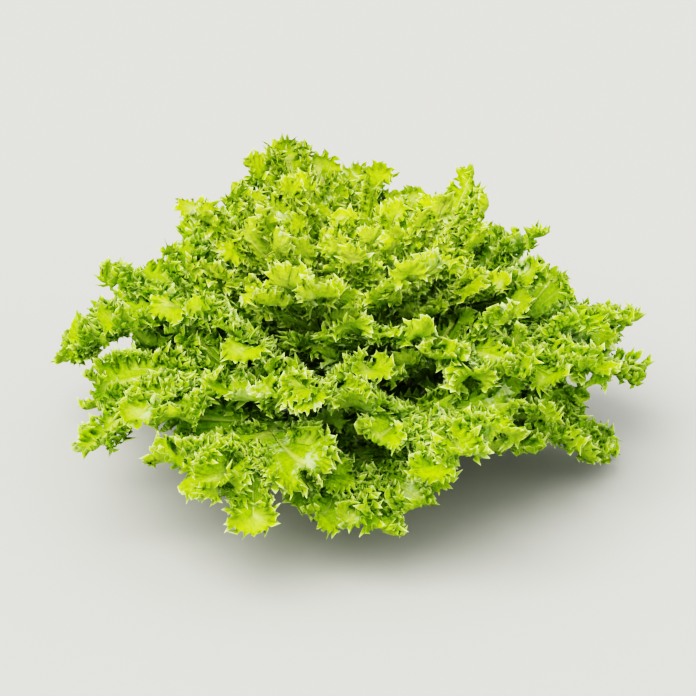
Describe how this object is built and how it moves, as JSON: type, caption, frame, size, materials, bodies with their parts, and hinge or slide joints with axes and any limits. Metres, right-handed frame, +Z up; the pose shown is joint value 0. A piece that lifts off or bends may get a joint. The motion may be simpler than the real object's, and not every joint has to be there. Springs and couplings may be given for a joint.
{
  "type": "curly endive head",
  "caption": "Cut head of curly endive: a low rosette of lobed leaves with ruffled, toothed edges, standing on its cut stem.",
  "frame": {"origin": "centre of the stem's flat cut face", "axes": "+Z up along the stem, from the cut face to the heart; the leaves turn round Z by the golden angle, and leaf 1 points along +X"},
  "size_m": [0.3159, 0.3148, 0.1576],
  "materials": {
    "outer_leaf": "thin waxy leaf, bright yellow-green, paler along the midrib",
    "inner_leaf": "thin waxy leaf, lighter yellow-green",
    "heart_leaf": "thin tender leaf, pale yellow",
    "stem": "moist white flesh with a cut face"
  },
  "bodies": {
    "root": {"cut_stem": "stem", "outer_leaf_01": "outer_leaf", "outer_leaf_02": "outer_leaf", "outer_leaf_03": "outer_leaf", "outer_leaf_04": "outer_leaf", "outer_leaf_05": "outer_leaf", "outer_leaf_06": "outer_leaf", "outer_leaf_07": "outer_leaf", "outer_leaf_08": "outer_leaf", "outer_leaf_09": "outer_leaf", "outer_leaf_10": "outer_leaf", "outer_leaf_11": "outer_leaf", "outer_leaf_12": "outer_leaf", "outer_leaf_13": "outer_leaf", "outer_leaf_14": "outer_leaf", "outer_leaf_15": "outer_leaf", "outer_leaf_16": "outer_leaf", "outer_leaf_17": "outer_leaf", "outer_leaf_18": "outer_leaf", "outer_leaf_19": "outer_leaf", "outer_leaf_20": "outer_leaf", "outer_leaf_21": "outer_leaf", "outer_leaf_22": "outer_leaf", "outer_leaf_23": "outer_leaf", "outer_leaf_24": "outer_leaf", "inner_leaf_25": "inner_leaf", "inner_leaf_26": "inner_leaf", "inner_leaf_27": "inner_leaf", "inner_leaf_28": "inner_leaf", "inner_leaf_29": "inner_leaf", "inner_leaf_30": "inner_leaf", "inner_leaf_31": "inner_leaf", "inner_leaf_32": "inner_leaf", "inner_leaf_33": "inner_leaf", "inner_leaf_34": "inner_leaf", "heart_leaf_35": "heart_leaf", "heart_leaf_36": "heart_leaf", "heart_leaf_37": "heart_leaf", "heart_leaf_38": "heart_leaf", "heart_leaf_39": "heart_leaf", "heart_leaf_40": "heart_leaf", "heart_leaf_41": "heart_leaf", "heart_leaf_42": "heart_leaf", "heart_leaf_43": "heart_leaf", "heart_leaf_44": "heart_leaf"}
  },
  "joints": []
}
